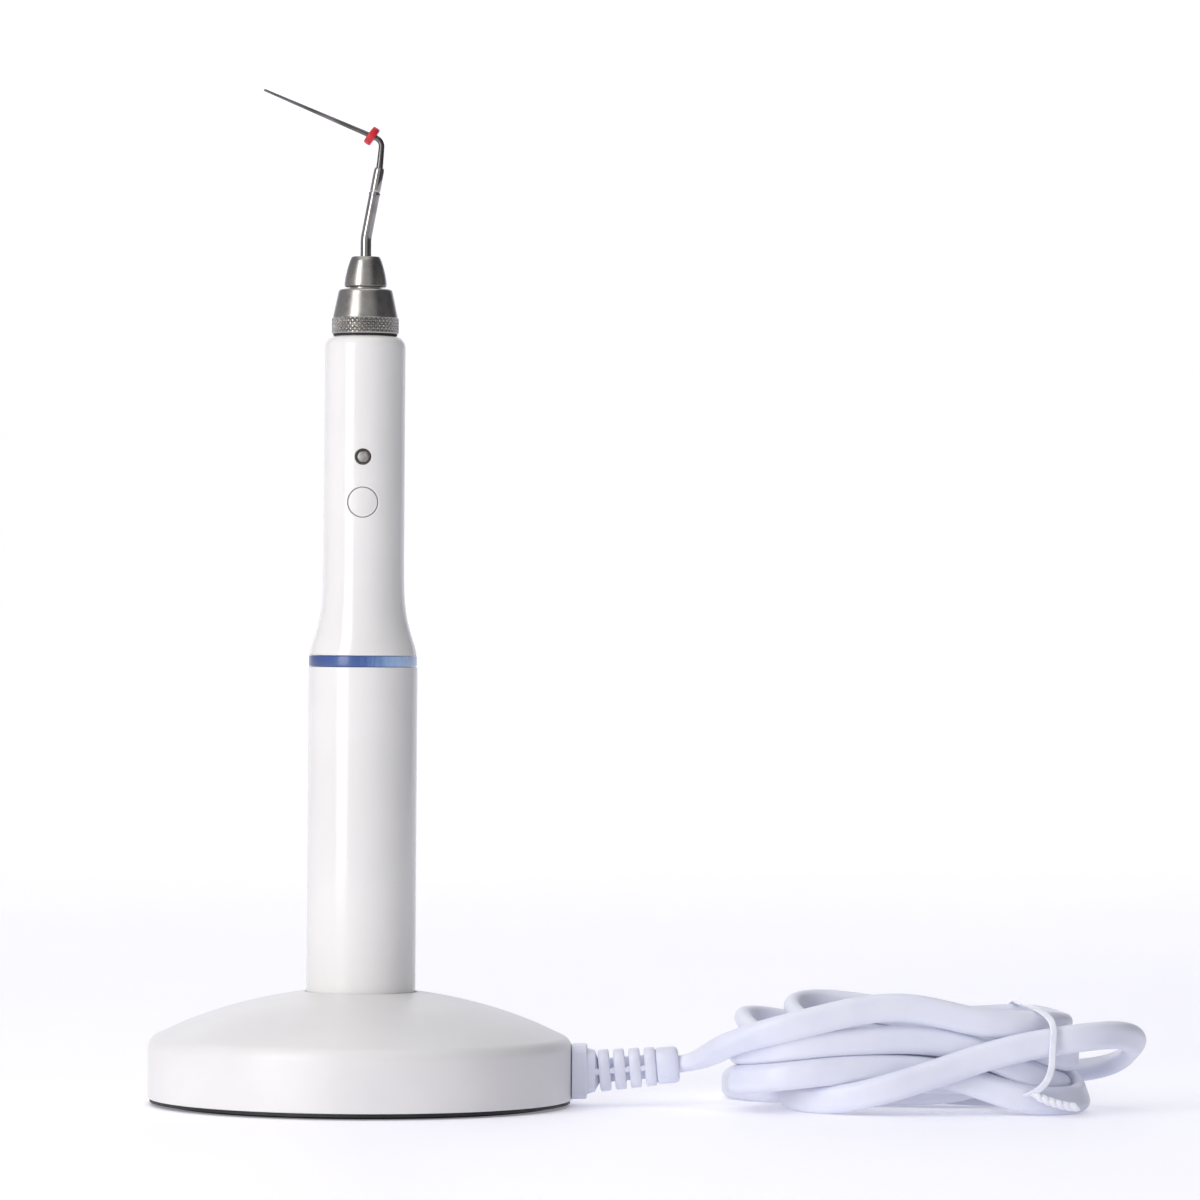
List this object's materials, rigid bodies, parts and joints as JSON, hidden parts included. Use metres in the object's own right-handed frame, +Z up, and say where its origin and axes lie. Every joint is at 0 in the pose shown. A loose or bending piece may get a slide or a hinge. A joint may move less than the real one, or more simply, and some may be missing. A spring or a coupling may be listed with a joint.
{
  "type": "heated obturation pen with charging base",
  "caption": "Slim dental heated plugger pen with a bent needle tip and depth stop, standing in a round domed charging base with a bundled flat cord.",
  "frame": {"origin": "centre of the charging base's underside, on the surface it stands on", "axes": "+Z up along the docked pen, -Y towards the button, +X towards the cord"},
  "size_m": [0.211, 0.106, 0.2153],
  "materials": {
    "white_gloss": "gloss",
    "white_satin": "satin",
    "black_plastic": "matte",
    "black_rubber": "matte",
    "steel": "satin",
    "steel_bright": "polished",
    "satin_steel": "fine turned",
    "dark_iron": "matte",
    "gold_brass": "bright",
    "board_green": "satin",
    "winding_tape": "satin",
    "can_dark": "gloss",
    "terminal_green": "satin",
    "lead_sleeve": "satin",
    "cord_pvc": "satin",
    "tie_white": "satin",
    "cell_wrap": "gloss",
    "ring_blue": "translucent",
    "lens_clear": "clear",
    "bezel_dark": "satin",
    "stop_red": "satin"
  },
  "bodies": {
    "charging_base": {"base_cover": "white_gloss", "base_plate": "black_plastic", "foot_ring": "black_rubber", "base_screws": "steel", "ballast_ring": "dark_iron", "socket_cup": "white_satin", "contact_block": "black_plastic", "pin_sleeves": "gold_brass", "power_board": "board_green", "transformer": "winding_tape", "filter_capacitor": "can_dark", "terminal_block": "terminal_green", "supply_leads": "lead_sleeve", "strain_relief": "cord_pvc", "cord_lead": "cord_pvc", "cord_hank": "cord_pvc", "cord_tail": "cord_pvc", "cord_tie": "tie_white", "plug_body": "cord_pvc", "plug_pins": "steel_bright"},
    "charge_pin_a": {"charge_pin_centre": "gold_brass"},
    "charge_pin_b": {"charge_pin_outer": "gold_brass"},
    "pen": {"rear_barrel": "white_gloss", "end_cap": "white_satin", "contact_disc": "gold_brass", "contact_ring": "gold_brass", "battery_cell": "cell_wrap", "battery_spring": "steel", "battery_plate": "steel", "ring_board": "board_green", "light_ring": "ring_blue", "front_shell": "white_gloss", "control_board": "board_green", "driver_chip": "black_plastic", "tact_switch": "black_plastic", "indicator_led": "white_satin", "indicator_lens": "lens_clear", "lens_bezel": "bezel_dark", "pen_leads": "lead_sleeve", "nose_mount": "steel", "nose_seal": "black_rubber", "socket_insulator": "white_satin", "centre_contact": "gold_brass"},
    "collar": {"lock_collar": "satin_steel"},
    "tip_socket": {"swivel_sleeve": "gold_brass"},
    "tip": {"tip_hub": "satin_steel", "tip_shank": "steel_bright", "needle_ferrule": "steel_bright", "plugger_needle": "steel_bright"},
    "depth_stop": {"silicone_stop": "stop_red"},
    "button": {"power_button": "white_satin", "switch_plunger": "lead_sleeve"}
  },
  "joints": [
    {"name": "pen_lift", "type": "slide", "parent": "charging_base", "child": "pen", "axis": [0, 0, 1], "range_m": [0, 0.04]},
    {"name": "pin_centre_press", "type": "slide", "parent": "charging_base", "child": "charge_pin_a", "axis": [0, 0, -1], "range_m": [0, 0.0007], "stiffness_N_per_m": 400},
    {"name": "pin_outer_press", "type": "slide", "parent": "charging_base", "child": "charge_pin_b", "axis": [0, 0, -1], "range_m": [0, 0.0007], "stiffness_N_per_m": 400},
    {"name": "button_press", "type": "slide", "parent": "pen", "child": "button", "axis": [0, 1, 0], "range_m": [0, 0.00045], "stiffness_N_per_m": 2000},
    {"name": "collar_turn", "type": "hinge", "parent": "pen", "child": "collar", "pos_m": [0, 0, 0.168], "axis": [0, 0, 1], "range_deg": [0, 360]},
    {"name": "tip_swivel", "type": "hinge", "parent": "pen", "child": "tip_socket", "pos_m": [0, 0, 0.16], "axis": [0, 0, 1], "continuous": true},
    {"name": "tip_pull", "type": "slide", "parent": "tip_socket", "child": "tip", "axis": [0, 0, 1], "range_m": [0, 0.02]},
    {"name": "stop_slide", "type": "slide", "parent": "tip", "child": "depth_stop", "axis": [-0.9212, 0, 0.3891], "range_m": [0, 0.02]}
  ]
}
